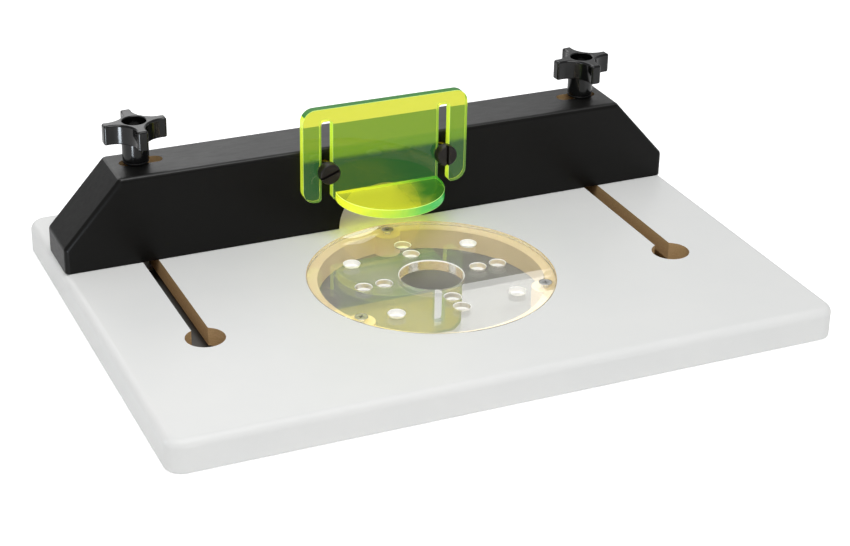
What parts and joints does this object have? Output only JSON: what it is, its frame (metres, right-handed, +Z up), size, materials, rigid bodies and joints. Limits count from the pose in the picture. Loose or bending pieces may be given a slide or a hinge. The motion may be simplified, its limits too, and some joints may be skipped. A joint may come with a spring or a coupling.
{
  "type": "router table",
  "caption": "Small benchtop router table: white wrapped board with a clear round insert, keyhole slots and a black fence with star knobs and a green bit guard.",
  "frame": {"origin": "middle of the board, on its underside", "axes": "+Z up, +X to the right along the fence, +Y from the front edge towards the fence"},
  "size_m": [0.3938, 0.2858, 0.1006],
  "materials": {
    "table_foil": "satin white foil over MDF, bare brown MDF where it is routed",
    "insert_acrylic": "polished clear acrylic, matt white where it is drilled",
    "fence_foil": "satin black foil over MDF, bare brown MDF where it is routed",
    "knob_plastic": "moulded black plastic",
    "guard_acrylic": "fluorescent yellow-green acrylic with bright edges",
    "screw_nylon": "moulded black nylon",
    "zinc_steel": "zinc plated",
    "black_steel": "black oxide",
    "brass": "turned and knurled"
  },
  "bodies": {
    "table": {"table_top": "table_foil", "insert_plate": "insert_acrylic", "insert_screw_back": "zinc_steel", "insert_screw_left": "zinc_steel", "insert_screw_right": "zinc_steel"},
    "fence_carriage": {"fence_bolt_left": "zinc_steel", "fence_bolt_right": "zinc_steel"},
    "fence": {"fence_body": "fence_foil", "guard_insert_left": "brass", "guard_insert_right": "brass"},
    "guard": {"guard_plate": "guard_acrylic", "guard_shelf": "guard_acrylic"},
    "guard_screw_left": {"guard_screw_left": "screw_nylon"},
    "guard_screw_right": {"guard_screw_right": "screw_nylon"},
    "knob_lift_left": {"knob_washer_left": "black_steel"},
    "knob_left": {"knob_left": "knob_plastic", "knob_insert_left": "brass"},
    "knob_lift_right": {"knob_washer_right": "black_steel"},
    "knob_right": {"knob_right": "knob_plastic", "knob_insert_right": "brass"}
  },
  "joints": [
    {"name": "fence_slide", "type": "slide", "parent": "table", "child": "fence_carriage", "axis": [0, 1, 0], "range_m": [-0.1225, 0.024]},
    {"name": "fence_shift", "type": "slide", "parent": "fence_carriage", "child": "fence", "axis": [1, 0, 0], "range_m": [-0.0058, 0.0058]},
    {"name": "guard_slide", "type": "slide", "parent": "fence", "child": "guard", "axis": [0, 0, 1], "range_m": [-0.0222, 0.0085]},
    {"name": "guard_screw_turn_left", "type": "hinge", "parent": "fence", "child": "guard_screw_left", "pos_m": [-0.03685, 0.05055, 0.06125], "axis": [0, -1, 0], "range_deg": [0, 360]},
    {"name": "guard_screw_turn_right", "type": "hinge", "parent": "fence", "child": "guard_screw_right", "pos_m": [0.03845, 0.05055, 0.06125], "axis": [0, -1, 0], "range_deg": [0, 360]},
    {"name": "knob_rise_left", "type": "slide", "parent": "fence_carriage", "child": "knob_lift_left", "axis": [0, 0, 1], "range_m": [0, 0.00282]},
    {"name": "knob_turn_left", "type": "hinge", "parent": "knob_lift_left", "child": "knob_left", "pos_m": [-0.1448, 0.07875, 0.07525], "axis": [0, 0, 1], "range_deg": [0, 720]},
    {"name": "knob_rise_right", "type": "slide", "parent": "fence_carriage", "child": "knob_lift_right", "axis": [0, 0, 1], "range_m": [0, 0.00282]},
    {"name": "knob_turn_right", "type": "hinge", "parent": "knob_lift_right", "child": "knob_right", "pos_m": [0.1448, 0.07875, 0.07525], "axis": [0, 0, 1], "range_deg": [0, 720]}
  ],
  "couplings": [
    {"joint": "knob_turn_left", "follows": "knob_rise_left", "rad_per_m": 4452.6},
    {"joint": "knob_turn_right", "follows": "knob_rise_right", "rad_per_m": 4452.6}
  ]
}
